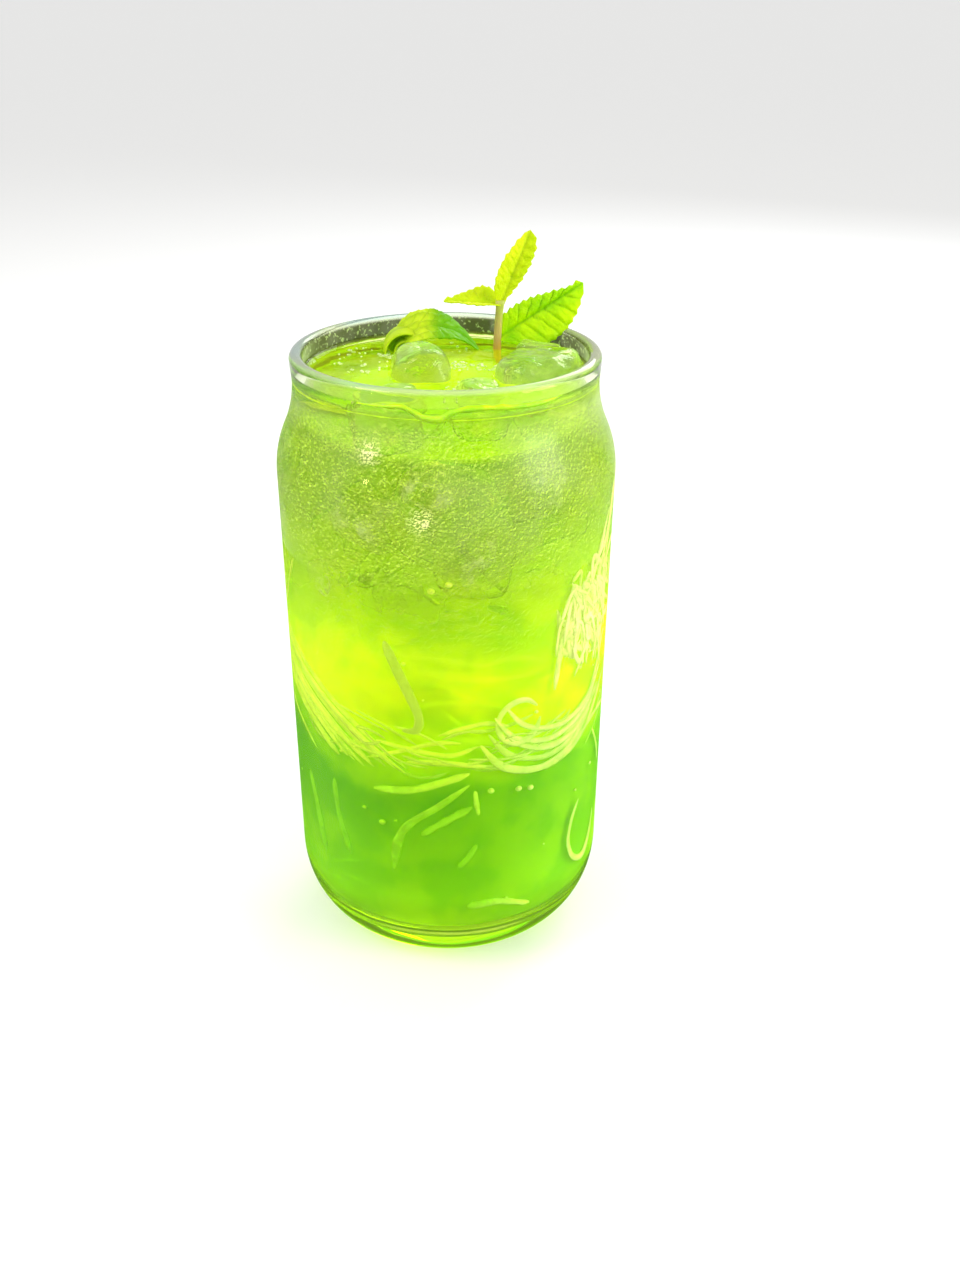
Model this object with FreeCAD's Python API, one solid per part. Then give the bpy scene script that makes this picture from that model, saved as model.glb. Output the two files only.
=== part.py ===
# Iced drink in a can-shaped glass, with a mint sprig and a loose curled mint leaf.
# Lengths in millimetres. Origin at the centre of the foot, Z up, viewer on the -Y side.
import FreeCAD, Part
import math
import os

os.makedirs("parts", exist_ok=True)
V = FreeCAD.Vector

# ---- glass ----
GLASS_H = 140.0                 # height over the rim
BODY_R = 37.0                   # outer radius just under the neck curve
LOW_R = BODY_R - 0.3            # outer radius just above the rounded corner
NECK_R = BODY_R - 4.4           # outer radius of the neck
NECK_Z = GLASS_H - 5.7          # upper end of the neck curve
SHOULDER_Z = GLASS_H - 25.6     # lower end of the neck curve
FOOT_R = BODY_R - 14.5          # radius of the flat foot
CORNER_Z = 18.5                 # height of the rounded bottom corner
WALL = 2.3                      # wall thickness of the body
RIM_T = 2.9                     # thickness of the fire-polished rim
FLOOR_Z = 8.0                   # height of the inner floor
FLOOR_R = BODY_R - 14.0         # radius of the flat inner floor
INNER_CORNER = 13.0             # height of the rounded inner corner
PUNT_R = FOOT_R - 5.5           # radius of the hollow under the foot
PUNT_H = 1.6                    # depth of the hollow under the foot

# ---- drink ----
LEVEL_Z = GLASS_H - 5.0         # surface of the drink
MENISCUS = 1.2                  # climb of the surface at the wall
LAYER_Z = GLASS_H * 0.39        # mean height where the two layers meet
LAYER_WAVE = 2.0                # swell of that meeting surface

# ---- ice ----
ICE_EDGE = 3.6                  # melted rounding of the large cubes
ICE_DISH = 0.8                  # depth of the dish in the top of a cube

# ---- mint ----
LEAF_T = 0.6                    # thickness of a leaf
STEM_R = 0.95                   # half width of the four-sided stem
STEM_SUNK = 11.0                # stem below the surface of the drink
STEM_RISE = 10.0                # stem above it, up to the node

# what lies in the mouth keeps its place when the glass gets wider or narrower
MOUTH = NECK_R / 32.6


def spot(x, y, rise):
    """A point in the mouth of the glass, its height counted from the surface of the drink."""
    return V(x * MOUTH, y * MOUTH, LEVEL_Z + rise)


def spline(points, tangents=None):
    curve = Part.BSplineCurve()
    if tangents:
        curve.interpolate(Points=points, InitialTangent=tangents[0], FinalTangent=tangents[1])
    else:
        curve.interpolate(points)
    return curve.toShape()


def line(a, b):
    return Part.makeLine(a, b)


def quarter(r_top, z_top, r_foot, z_foot):
    """Quarter ellipse from a wall down to a flat, upright at the wall and level at the flat."""
    a = r_top - r_foot
    b = z_top - z_foot
    points = []
    for i in range(9):
        t = math.pi / 2 * i / 8
        points.append(V(r_foot + a * math.cos(t), 0, z_top - b * math.sin(t)))
    return spline(points, (V(0, 0, -b), V(-a, 0, 0)))


def neck_curve(r_low, z_low, r_high, z_high):
    """Two equal arcs that lead from the shoulder to the neck, upright at both ends."""
    dr = r_low - r_high
    dz = z_high - z_low
    phi = 2 * math.atan2(dr, dz)
    rad = dz / (2 * math.sin(phi))
    mid = V((r_low + r_high) / 2, 0, (z_low + z_high) / 2)
    half = phi / 2
    m1 = V(r_low - rad * (1 - math.cos(half)), 0, z_low + rad * math.sin(half))
    m2 = V(r_high + rad * (1 - math.cos(half)), 0, z_high - rad * math.sin(half))
    low = V(r_low, 0, z_low)
    high = V(r_high, 0, z_high)
    return [Part.Arc(low, m1, mid).toShape(), Part.Arc(mid, m2, high).toShape()]


def turn(edges):
    face = Part.Face(Part.Wire(Part.__sortEdges__(edges)))
    solid = face.revolve(V(0, 0, 0), V(0, 0, 1), 360)
    return Part.makeSolid(solid) if solid.ShapeType != "Solid" else solid


def one_solid(shape):
    solids = shape.Solids
    assert len(solids) == 1, "expected one solid, got %d" % len(solids)
    return solids[0]


rim_out = V(NECK_R + 0.35, 0, GLASS_H - RIM_T / 2)
rim_in = V(rim_out.x - RIM_T, 0, rim_out.z)
rim_top = V((rim_out.x + rim_in.x) / 2, 0, GLASS_H)
neck_in = V(NECK_R - WALL + 0.1, 0, NECK_Z)
shoulder_in = V(BODY_R - WALL, 0, SHOULDER_Z)
low_in = V(LOW_R - WALL, 0, FLOOR_Z + INNER_CORNER)
floor_in = V(FLOOR_R, 0, FLOOR_Z)


def inner_wall():
    """Inside of the glass from the floor's edge up to the neck."""
    edges = [quarter(low_in.x, low_in.z, FLOOR_R, FLOOR_Z), line(low_in, shoulder_in)]
    return edges + neck_curve(shoulder_in.x, shoulder_in.z, neck_in.x, neck_in.z)


def make_glass():
    edges = []
    edges.append(Part.Arc(V(0, 0, PUNT_H), V(PUNT_R * 0.55, 0, PUNT_H * 0.78), V(PUNT_R, 0, 0)).toShape())
    edges.append(line(V(PUNT_R, 0, 0), V(FOOT_R, 0, 0)))
    edges.append(quarter(LOW_R, CORNER_Z, FOOT_R, 0))
    edges.append(line(V(LOW_R, 0, CORNER_Z), V(BODY_R, 0, SHOULDER_Z)))
    edges += neck_curve(BODY_R, SHOULDER_Z, NECK_R, NECK_Z)
    edges.append(line(V(NECK_R, 0, NECK_Z), rim_out))
    edges.append(Part.Arc(rim_out, rim_top, rim_in).toShape())
    edges.append(line(rim_in, neck_in))
    edges += inner_wall()
    edges.append(line(floor_in, V(0, 0, FLOOR_Z)))
    edges.append(line(V(0, 0, FLOOR_Z), V(0, 0, PUNT_H)))
    return turn(edges)


def make_contents():
    """Everything inside the glass up to the level, with the surface climbing at the wall."""
    top = LEVEL_Z + MENISCUS
    k = (top - NECK_Z) / (rim_in.z - NECK_Z)
    wall_top = V(neck_in.x + k * (rim_in.x - neck_in.x), 0, top)
    calm = V(wall_top.x - 1.5 * MENISCUS, 0, LEVEL_Z)
    edges = inner_wall()
    edges.append(line(neck_in, wall_top))
    sag = V(wall_top.x - 0.42 * MENISCUS, 0, LEVEL_Z + 0.3 * MENISCUS)
    edges.append(Part.Arc(wall_top, sag, calm).toShape())
    edges.append(line(calm, V(0, 0, LEVEL_Z)))
    edges.append(line(V(0, 0, LEVEL_Z), V(0, 0, FLOOR_Z)))
    edges.append(line(V(0, 0, FLOOR_Z), floor_in))
    return turn(edges)


def sheet(x0, x1, y0, y1, nx, ny, height):
    """Smooth surface through a grid of heights."""
    rows = []
    for i in range(nx):
        x = x0 + (x1 - x0) * i / (nx - 1)
        row = []
        for j in range(ny):
            y = y0 + (y1 - y0) * j / (ny - 1)
            row.append(V(x, y, height(x, y)))
        rows.append(row)
    surface = Part.BSplineSurface()
    surface.interpolate(rows)
    return surface.toShape()


def layer_height(x, y):
    swell = math.sin(x / 12.0 + 0.5) * math.cos(y / 15.0 - 0.3)
    ripple = math.sin((x + 2 * y) / 14.0 + 1.0)
    return LAYER_Z + LAYER_WAVE * (0.7 * swell + 0.4 * ripple)


def local_frame(origin, along, up):
    """Placement whose X runs along and whose Z is as near as it can be to up."""
    x = V(along).normalize()
    z = up - x * up.dot(x)
    z.normalize()
    y = z.cross(x)
    m = FreeCAD.Matrix(x.x, y.x, z.x, origin.x,
                       x.y, y.y, z.y, origin.y,
                       x.z, y.z, z.z, origin.z,
                       0, 0, 0, 1)
    return FreeCAD.Placement(m)


def ice_cube(width, depth, height, taper, edge, centre, yaw, pitch, roll):
    """Cube from a tray: narrower below, melted round, with a shallow dish on top."""
    width = width * MOUTH
    depth = depth * MOUTH
    rings = []
    for z, k in ((-height / 2, taper), (height / 2, 1.0)):
        a = width * k / 2
        b = depth * k / 2
        corners = [V(-a, -b, z), V(a, -b, z), V(a, b, z), V(-a, b, z), V(-a, -b, z)]
        rings.append(Part.makePolygon(corners))
    cube = Part.makeLoft(rings, True, True)
    cube = cube.makeFillet(edge, cube.Edges)
    ball_r = (min(width, depth) * 0.3) ** 2 / (2 * ICE_DISH)
    dish = Part.makeSphere(ball_r, V(0, 0, height / 2 - ICE_DISH + ball_r))
    cube = cube.cut(dish)
    cube.Placement = FreeCAD.Placement(centre, FreeCAD.Rotation(yaw, pitch, roll))
    return one_solid(cube)


def leaf_outline(length, left, right, teeth, tooth, stalk):
    """Saw-edged outline from the stalk to the tip and back.

    Each side is (greatest half width, where it lies along the length, how pointed it is)."""
    def half_width(s, most, peak, point):
        a = peak * point
        b = (1 - peak) * point
        oval = (s / peak) ** a * ((1 - s) / (1 - peak)) ** b
        return max(stalk, most * oval)

    def side(shape, sign):
        points = [V(-0.4, sign * stalk, 0)]
        start = 0.10
        step = (0.97 - start) / teeth
        for i in range(teeth):
            s0 = start + i * step
            s1 = s0 + 0.72 * step
            points.append(V(length * s0, sign * half_width(s0, *shape), 0))
            points.append(V(length * s1, sign * (half_width(s1, *shape) + tooth), 0))
        return points

    upper = side(left, 1)
    lower = side(right, -1)
    return upper + [V(length, 0, 0)] + lower[::-1] + [upper[0]]


def leaf(origin, along, up, length, left, right, fold, wave, teeth, tooth,
         stalk=0.8, arch=0.0, twist=0.0):
    """Thin leaf: creased along the midrib, arched, twisted, and waved at its edges."""
    reach = max(left[0], right[0]) + 1.5

    def height(x, y):
        s = x / length
        crease = math.sqrt(y * y + 0.3) - math.sqrt(0.3)
        ruffle = wave * math.sin(9.0 * s + 0.8 * math.copysign(1, y)) * (y / reach) ** 2
        rise = arch * (1 - (2 * s - 1) ** 2)
        return fold * crease + rise + twist * (0.45 - s) * y + ruffle

    slab = sheet(-1.5, length + 1.5, -reach, reach, 13, 11, height).extrude(V(0, 0, LEAF_T))
    plate = Part.Face(Part.makePolygon(leaf_outline(length, left, right, teeth, tooth, stalk)))
    plate.translate(V(0, 0, -30))
    blade = slab.common(plate.extrude(V(0, 0, 60)))
    blade.Placement = local_frame(origin, along, up)
    return one_solid(blade)


def stem(foot, node, half):
    """Four-sided stem, a little bowed, thinner at the node."""
    rings = []
    count = 6
    for i in range(count):
        k = i / (count - 1)
        bow = 0.5 * math.sin(math.pi * k)
        centre = foot + (node - foot) * k + V(-bow, 0, 0)
        size = half * (1.0 - 0.12 * k)
        ring = []
        for j in range(16):
            t = 2 * math.pi * j / 16
            c = math.cos(t)
            s = math.sin(t)
            grow = (abs(c) ** 3.2 + abs(s) ** 3.2) ** (-1 / 3.2)
            ring.append(V(centre.x + size * grow * c, centre.y + size * grow * s, centre.z))
        curve = Part.BSplineCurve()
        curve.interpolate(Points=ring, PeriodicFlag=True)
        rings.append(Part.Wire(curve.toShape()))
    return Part.makeLoft(rings, True, False)


def make_sprig():
    foot = spot(11.4, 18.0, -STEM_SUNK)
    node = spot(11.6, 17.8, STEM_RISE)
    parts = [stem(foot, node, STEM_R)]
    parts.append(Part.makeSphere(1.3, node))
    # young upright leaf, its face to the viewer
    parts.append(leaf(node + V(0.1, 0, 0.3), V(6.2, 0.0, 15.6), V(0.3, -1.0, 0.3), 16.8,
                      (3.3, 0.38, 1.3), (2.6, 0.65, 1.5), 0.28, 0.4, 8, 0.28))
    # left leaf, held out level, its far half turned up to the viewer
    parts.append(leaf(node + V(-0.2, 0, -0.2), V(-12.2, -1.0, 0.9), V(0.1, -0.3, 0.95), 12.4,
                      (3.2, 0.40, 1.3), (3.6, 0.26, 1.6), 0.55, 0.4, 7, 0.28))
    # large right leaf, grown from lower on the stem, its lower edge over the rim
    parts.append(leaf(node + V(0.1, 0, -7.1), V(18.3, 1.7, 11.6), V(-0.15, -1.0, 0.20), 21.6 * MOUTH,
                      (3.7 * MOUTH, 0.28, 1.9), (6.9 * MOUTH ** 2, 0.46, 1.6), 0.18, 0.9, 11, 0.42))
    return one_solid(parts[0].multiFuse(parts[1:]))


def make_curled_leaf():
    """Loose leaf arched behind the ice, its ends in the drink."""
    return leaf(spot(-13.4, 17.2, -0.8), V(20.6, 0.6, 0.2), V(0.0, -0.5, 0.87), 20.6 * MOUTH,
                (4.9, 0.45, 0.9), (4.9, 0.45, 0.9), 0.18, 0.5, 10, 0.35,
                stalk=1.0, arch=7.6, twist=0.5)


ICE = {
    "ice_centre": ice_cube(12.6, 18.0, 18.0, 0.88, 3.4, spot(-5.5, -1.6, -3.4), 6, 4, -4),
    "ice_right": ice_cube(17.0, 19.0, 19.0, 0.86, ICE_EDGE, spot(19.9, -2.6, -4.8), -20, -6, 3),
    "ice_front_right": ice_cube(9.5, 10.0, 12.0, 0.88, 2.4, spot(6.8, -14.2, -3.6), 34, 8, 10),
    "ice_front_left": ice_cube(14.0, 11.0, 13.0, 0.88, 3.0, spot(-10.6, -17.6, -5.1), 16, -3, 4),
    "ice_back": ice_cube(11.5, 6.4, 14.0, 0.88, 2.3, spot(20.3, 11.1, -3.2), -13, 3, -3),
}

glass = make_glass()
contents = make_contents()
below = sheet(-42, 42, -42, 42, 13, 13, layer_height).extrude(V(0, 0, -80))
drink_lower = contents.common(below)
drink_upper = contents.cut(below)
sprig = make_sprig()
curled = make_curled_leaf()
for piece in list(ICE.values()) + [sprig, curled]:
    drink_upper = drink_upper.cut(piece)

nodes = {"glass": glass, "drink_lower": drink_lower, "drink_upper": drink_upper,
         "mint_sprig": sprig, "mint_leaf_curled": curled}
nodes.update(ICE)
for name, shape in nodes.items():
    solid = one_solid(shape)
    solid.exportStep("parts/%s.step" % name)
    box = solid.BoundBox
    print(name, solid.isValid(), round(solid.Volume), [round(v, 1) for v in
          (box.XMin, box.XMax, box.YMin, box.YMax, box.ZMin, box.ZMax)])
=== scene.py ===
import math
import random

import bmesh
import bpy
from mathutils import Matrix, Vector, noise


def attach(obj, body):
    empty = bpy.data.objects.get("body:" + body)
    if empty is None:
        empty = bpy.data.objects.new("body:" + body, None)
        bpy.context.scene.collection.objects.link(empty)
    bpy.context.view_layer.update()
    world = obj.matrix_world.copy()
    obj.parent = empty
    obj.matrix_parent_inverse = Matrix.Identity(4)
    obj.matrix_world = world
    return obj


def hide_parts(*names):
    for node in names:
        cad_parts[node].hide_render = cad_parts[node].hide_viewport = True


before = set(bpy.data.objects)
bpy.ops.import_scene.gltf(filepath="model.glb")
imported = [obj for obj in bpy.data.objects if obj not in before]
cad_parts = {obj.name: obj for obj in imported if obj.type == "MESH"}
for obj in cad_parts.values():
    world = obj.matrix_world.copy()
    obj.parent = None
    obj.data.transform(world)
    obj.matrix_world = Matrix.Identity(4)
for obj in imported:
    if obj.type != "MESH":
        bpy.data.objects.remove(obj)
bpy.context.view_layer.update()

MM = 0.001
scene = bpy.context.scene

# the glass and its filling, in millimetres, as in the construction
GLASS_H = 140.0
BODY_R = 37.0
SPREAD = 0.3  # how much wider the body is at the shoulder than at the foot
LOW_R = BODY_R - SPREAD
NECK_R = BODY_R - 4.4
NECK_Z = GLASS_H - 5.7
SHOULDER_Z = GLASS_H - 25.6
FOOT_R = BODY_R - 14.5
CORNER_Z = 18.5
WALL = 2.3
RIM_T = 2.9
FLOOR_Z = 8.0
FLOOR_R = BODY_R - 14.0
INNER_CORNER = 13.0
PUNT_R = FOOT_R - 5.5
PUNT_H = 1.6
LEVEL_Z = GLASS_H - 5.0
MENISCUS = 1.2
LAYER_Z = GLASS_H * 0.39

INNER_R = LOW_R - WALL
BEND_Z = FLOOR_Z + INNER_CORNER
NECK_INNER_R = NECK_R - WALL + 0.1
RIM_R = NECK_R + 0.35
RIM_Z = GLASS_H - RIM_T / 2

REACH = 0.22  # how far the drink reaches into the wall
SKIN = 0.05  # room for the beads of water on the outside
POCKET = 0.12  # how much smaller a pocket in the drink is than its ice, all round
ON_AXIS = 1e-6

# the camera, in metres and degrees
LENS = 35.66
CAMERA_AT = (0.00754, -0.26497, 0.20903)
CAMERA_DOWN = 27.6
CAMERA_ROLL = 0.33


def make_camera():
    data = bpy.data.cameras.new("camera")
    data.sensor_width = 36.0
    data.sensor_fit = "AUTO"
    data.lens = LENS
    data.clip_start = 0.01
    data.clip_end = 20.0
    cam = bpy.data.objects.new("camera", data)
    scene.collection.objects.link(cam)
    tilt = Matrix.Rotation(math.radians(90.0 - CAMERA_DOWN), 4, "X")
    roll = Matrix.Rotation(math.radians(CAMERA_ROLL), 4, "Z")
    cam.matrix_world = Matrix.Translation(CAMERA_AT) @ tilt @ roll
    scene.camera = cam


make_camera()


# ---------------------------------------------------------------- mesh helpers
def add_object(name, mesh):
    ob = bpy.data.objects.new(name, mesh)
    scene.collection.objects.link(ob)
    return ob


def make_smooth(mesh):
    mesh.polygons.foreach_set("use_smooth", [True] * len(mesh.polygons))
    mesh.update()


def mesh_from(name, verts, faces):
    """A smooth piece from points in millimetres, its faces turned outwards."""
    mesh = bpy.data.meshes.new(name)
    mesh.from_pydata([tuple(c * MM for c in v) for v in verts], [], faces)
    bm = bmesh.new()
    bm.from_mesh(mesh)
    bmesh.ops.recalc_face_normals(bm, faces=bm.faces)
    bm.to_mesh(mesh)
    bm.free()
    make_smooth(mesh)
    return add_object(name, mesh)


def tag(ob, values):
    """Keeps one number per vertex, which the materials read as the mark."""
    layer = ob.data.attributes.new("mark", "FLOAT", "POINT")
    layer.data.foreach_set("value", values)


def gather(parts):
    """Joins (points, faces) pairs into one pair."""
    verts, faces = [], []
    for part_verts, part_faces in parts:
        base = len(verts)
        verts += part_verts
        faces += [[i + base for i in face] for face in part_faces]
    return verts, faces


def turns(n):
    """Angles evenly round a circle."""
    return [2 * math.pi * i / n for i in range(n)]


def shares(n):
    """From nought to one in n steps."""
    return [i / n for i in range(n + 1)]


def woven(rows, cols, closed=False):
    """Faces between rows of points that each run once round; closed joins the last row to the first."""
    faces = []
    for i in range(rows if closed else rows - 1):
        here = i * cols
        there = (i + 1) % rows * cols
        for j in range(cols):
            k = (j + 1) % cols
            faces.append([here + j, here + k, there + k, there + j])
    return faces


def tube(rows, cols):
    """Faces of a tube that is shut at both ends."""
    last = (rows - 1) * cols
    return woven(rows, cols) + [list(range(cols))[::-1], list(range(last, last + cols))]


def sheet(rows, cols):
    """Faces of a thin sheet whose upper points are followed by as many lower ones."""
    under = rows * cols
    faces = []
    for i in range(rows - 1):
        for j in range(cols - 1):
            a = i * cols + j
            faces.append([a, a + cols, a + cols + 1, a + 1])
            faces.append([under + a, under + a + 1, under + a + cols + 1, under + a + cols])
    edges = [(i * cols + j, (i + 1) * cols + j) for i in range(rows - 1) for j in (0, cols - 1)]
    edges += [(i * cols + j, i * cols + j + 1) for j in range(cols - 1) for i in (0, rows - 1)]
    return faces + [[a, b, under + b, under + a] for a, b in edges]


def around(deg, r, z):
    """A point at a distance from the axis, degrees round from the front."""
    a = math.radians(deg)
    return (r * math.sin(a), -r * math.cos(a), z)


def on_wall(deg, z, depth):
    """A point inside the glass: degrees round from the front, height, distance in from the wall."""
    r = INNER_R - depth
    if z < BEND_Z:
        k = (BEND_Z - z) / INNER_CORNER
        r = FLOOR_R + (INNER_R - FLOOR_R) * math.sqrt(max(0.0, 1 - k * k)) - depth
    return around(deg, r, z)


def lathe(name, profile, seg, marks=None):
    """Turns (r, z) points round Z, a point on the axis becoming one vertex; marks: one per point."""
    verts, rings, faces, marked = [], [], [], []
    for k, (r, z) in enumerate(profile):
        count = 1 if r < ON_AXIS else seg
        rings.append([len(verts) + i % count for i in range(seg)])
        verts += [(r * math.cos(a), r * math.sin(a), z) for a in turns(count)]
        if marks:
            marked += [marks[k]] * count
    for low, high in zip(rings, rings[1:]):
        for i in range(seg):
            j = (i + 1) % seg
            corners = list(dict.fromkeys((low[i], low[j], high[j], high[i])))
            if len(corners) > 2:
                faces.append(corners)
    ob = mesh_from(name, verts, faces)
    if marks:
        tag(ob, marked)
    return ob


# ---------------------------------------------------------------- glass and drink
def quarter(r_top, z_top, r_foot, z_foot, n=20):
    """Quarter ellipse from a wall down to a flat."""
    wide, high = r_top - r_foot, z_top - z_foot
    bends = [math.pi / 2 * k for k in shares(n)]
    return [(r_foot + wide * math.cos(t), z_top - high * math.sin(t)) for t in bends]


def neck_curve(r_low, z_low, r_high, z_high):
    """Two equal arcs from the shoulder up to the neck, upright at both ends."""
    phi = 2 * math.atan2(r_low - r_high, z_high - z_low)
    rad = (z_high - z_low) / (2 * math.sin(phi))
    steps = [(rad * (1 - math.cos(phi * k)), rad * math.sin(phi * k)) for k in shares(12)]
    lower = [(r_low - dr, z_low + dz) for dr, dz in steps]
    upper = [(r_high + dr, z_high - dz) for dr, dz in steps[-2::-1]]
    return lower + upper


def side_wall(r, z_low, z_high, n):
    """The side of the body, which widens a little upwards."""
    return [(r + SPREAD * k, z_low + (z_high - z_low) * k) for k in shares(n)]


def inwards(r, z, n):
    """A flat from its edge, which is left out, to the axis."""
    return [(r * (1 - k), z) for k in shares(n)[1:]]


def inner_wall(grow):
    """Inside of the glass from the floor's edge up to the neck, moved outwards by grow."""
    low = quarter(INNER_R + grow, BEND_Z, FLOOR_R + grow * 0.5, FLOOR_Z - grow)
    body = side_wall(INNER_R + grow, BEND_Z, SHOULDER_Z, 12)[1:-1]
    top = neck_curve(BODY_R - WALL + grow, SHOULDER_Z, NECK_INNER_R + grow, NECK_Z)
    return low[::-1] + body + top


def mouth_radius(z):
    """Inside of the glass between the neck and the rim."""
    k = (z - NECK_Z) / (RIM_Z - NECK_Z)
    return NECK_INNER_R * (1 - k) + (RIM_R - RIM_T) * k


def bead_point(a, gap=0.0):
    """A point on the round rim, at an angle from its outside."""
    bead = RIM_T / 2 + gap
    return (RIM_R - RIM_T / 2 + bead * math.cos(a), RIM_Z + bead * math.sin(a))


def make_glass():
    """The wall, its outside marked one and its inside nought."""
    outside = [(PUNT_R * k, PUNT_H * (1 - k ** 2)) for k in shares(8)] + [(FOOT_R - 2.0, 0.0)]
    outside += quarter(LOW_R - SKIN, CORNER_Z, FOOT_R, 0.0, 26)[::-1]
    outside += side_wall(LOW_R - SKIN, CORNER_Z, SHOULDER_Z, 12)[1:-1]
    outside += neck_curve(BODY_R - SKIN, SHOULDER_Z, NECK_R - SKIN, NECK_Z)
    inside = [bead_point(math.pi * k) for k in shares(12)]
    inside += inner_wall(0.0)[::-1] + inwards(FLOOR_R, FLOOR_Z, 4)
    return lathe("glass_wall", outside + inside, 192, [1.0] * len(outside) + [0.0] * len(inside))


def make_drink():
    """The whole filling as one clear body, a little into the wall, its surface gently uneven."""
    top = LEVEL_Z + MENISCUS
    wall_r = mouth_radius(top)
    prof = inwards(FLOOR_R, FLOOR_Z - REACH, 4)[::-1] + inner_wall(REACH)
    prof.append((wall_r + REACH, top))
    prof += [(wall_r - 1.9 * MENISCUS * k, LEVEL_Z + MENISCUS * (1 - k) ** 2) for k in shares(8)[1:]]
    calm = prof[-1][0]
    prof += inwards(calm, LEVEL_Z, 22)
    ob = lathe("drink_body", prof, 192)
    for v in ob.data.vertices:
        r = math.hypot(v.co.x, v.co.y) / MM
        if v.co.z > (LEVEL_Z - 0.01) * MM and r < calm + 1e-3:
            fade = min(1.0, (calm + 0.4 - r) / 3.0)
            p = v.co * 160
            v.co.z += fade * 0.22 * MM * noise.noise(Vector((p.x, p.y, 3.1)))
    return ob


def layer_height(x, y):
    """Where the two layers meet, in gentle waves."""
    swell = math.sin(x / 12.0 + 0.5) * math.cos(y / 15.0 - 0.3)
    ripple = math.sin((x + 2 * y) / 14.0 + 1.0)
    return LAYER_Z + 2.0 * (0.7 * swell + 0.4 * ripple)


def make_lower():
    """The deep green layer: what colours the foot of the drink."""
    grow = REACH * 0.5
    prof = inwards(FLOOR_R, FLOOR_Z - grow, 4)[::-1]
    prof += [p for p in inner_wall(grow) if p[1] < LAYER_Z - 4]
    edge_r = INNER_R + grow + 0.1
    prof += [(edge_r, LAYER_Z)] + inwards(edge_r, LAYER_Z, 16)
    ob = lathe("drink_deep", prof, 128)
    for v in ob.data.vertices:
        if v.co.z > (LAYER_Z - 0.01) * MM:
            v.co.z = layer_height(v.co.x / MM, v.co.y / MM) * MM
    return ob


def make_core():
    """The cloudy heart of the drink, a little in from the wall; its flat top is marked one."""
    foot_depth, depth = 0.9, 2.6
    side = []
    for r, z in quarter(INNER_R, BEND_Z, FLOOR_R, FLOOR_Z)[::-1]:
        k = (z - FLOOR_Z) / INNER_CORNER
        d = foot_depth + (depth - foot_depth) * k
        side.append((r - d * (0.4 + 0.6 * k), z + d * (1 - k)))
    side = inwards(*side[0], 5)[::-1] + side
    side = [p for p in side if p[1] < BEND_Z - 0.5]
    side += side_wall(INNER_R - depth, BEND_Z, SHOULDER_Z + 6, 30)
    r, z = side[-1]
    side += [(r - 2.5, z + 1.5), (r - 7, z + 2.2)]
    top = inwards(r - 7, z + 2.2, 5)
    return lathe("drink_cloud", side + top, 128, [0.0] * len(side) + [1.0] * len(top))


def make_foot_tint_painted_glow():
    """A green body in the thick glass of the foot, which tints the light crossing it and gives off a
    painted glow.
    """
    prof = [(0.0, PUNT_H + 0.5), (PUNT_R, 0.6), (FOOT_R - 2.0, 0.5)]
    prof += [(r - 0.5, z + 0.5) for r, z in quarter(LOW_R, CORNER_Z, FOOT_R, 0.0, 14)[::-1]][:9]
    edge_r, edge_z = prof[-1]
    prof.append((edge_r - 1.6, edge_z + 0.2))
    inner = quarter(INNER_R, BEND_Z, FLOOR_R, FLOOR_Z, 14)
    prof += [(r + 0.3, z - 0.4) for r, z in inner if z < edge_z]
    prof.append((0.0, FLOOR_Z - 0.5))
    return lathe("foot_tint", prof, 96)


def make_dew():
    """The skin of condensation on the outside of the wall."""
    prof = side_wall(LOW_R, 66, SHOULDER_Z, 20)
    prof += neck_curve(BODY_R, SHOULDER_Z, NECK_R, NECK_Z)[1:]
    prof.append((NECK_R + 0.15, NECK_Z + 1.2))
    return lathe("condensation", [(r - 0.005, z) for r, z in prof], 192)


def make_film():
    """The wetted inside of the wall, from the level to the top of the rim; its material paints shade at the
    back.
    """
    gap = 0.04
    heights = [LEVEL_Z + MENISCUS - 0.2 + i * 0.5 for i in range(6)]
    prof = [(mouth_radius(z) - gap, z) for z in heights]
    prof += [bead_point(math.pi * (1 - 0.045 * i), gap) for i in range(8)]
    return lathe("wet_film", prof, 160)


def smooth_path(points, per=7):
    """A smooth line of points that passes through the given ones."""
    out = []
    pts = [points[0]] + list(points) + [points[-1]]
    for a, b, c, d in zip(pts, pts[1:], pts[2:], pts[3:]):
        for t in shares(per)[:-1]:
            square = (2 * a - 5 * b + 4 * c - d) * t * t
            cube = (3 * b - a - 3 * c + d) * t ** 3
            out.append(0.5 * ((2 * b) + (c - a) * t + square + cube))
    out.append(pts[-2])
    return out


# degrees round from the front, height over the level
LINE_STATIONS = [
    (-32, 0.9), (-21, 1.0), (-15, 1.3), (-12, 0.8), (-9, 0.0), (-6, -0.7), (-1, -0.9),
    (3, 0.2), (7, 0.9), (14, 1.1), (21, 0.9), (30, 0.6), (41, 0.6), (48, 1.2),
]


def make_liquid_line():
    """The drink's edge where it wets the front of the wall, dipping to one side; its brightness is partly a
    painted glow.
    """
    path = smooth_path([Vector((deg, z, 0)) for deg, z in LINE_STATIONS], 6)
    verts = []
    for p, k in zip(path, shares(len(path) - 1)):
        half = 0.7 * (0.55 + 0.45 * math.sin(math.pi * k))
        half *= 1 + 0.5 * noise.noise(Vector((p.x * 0.25, 4, 0)))
        half *= min(1.0, 8 * min(k, 1 - k) + 0.15)
        for rise, out in ((half, 0.0), (0.0, -0.35), (-half, 0.0), (0.0, 0.25)):
            z = LEVEL_Z + p.y + rise
            r = NECK_INNER_R - 0.2 + out + max(0.0, NECK_Z - z) ** 2 * 0.022
            verts.append(Vector(around(p.x, r, z)))
    return mesh_from("liquid_line", verts, tube(len(path), 4))


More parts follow.
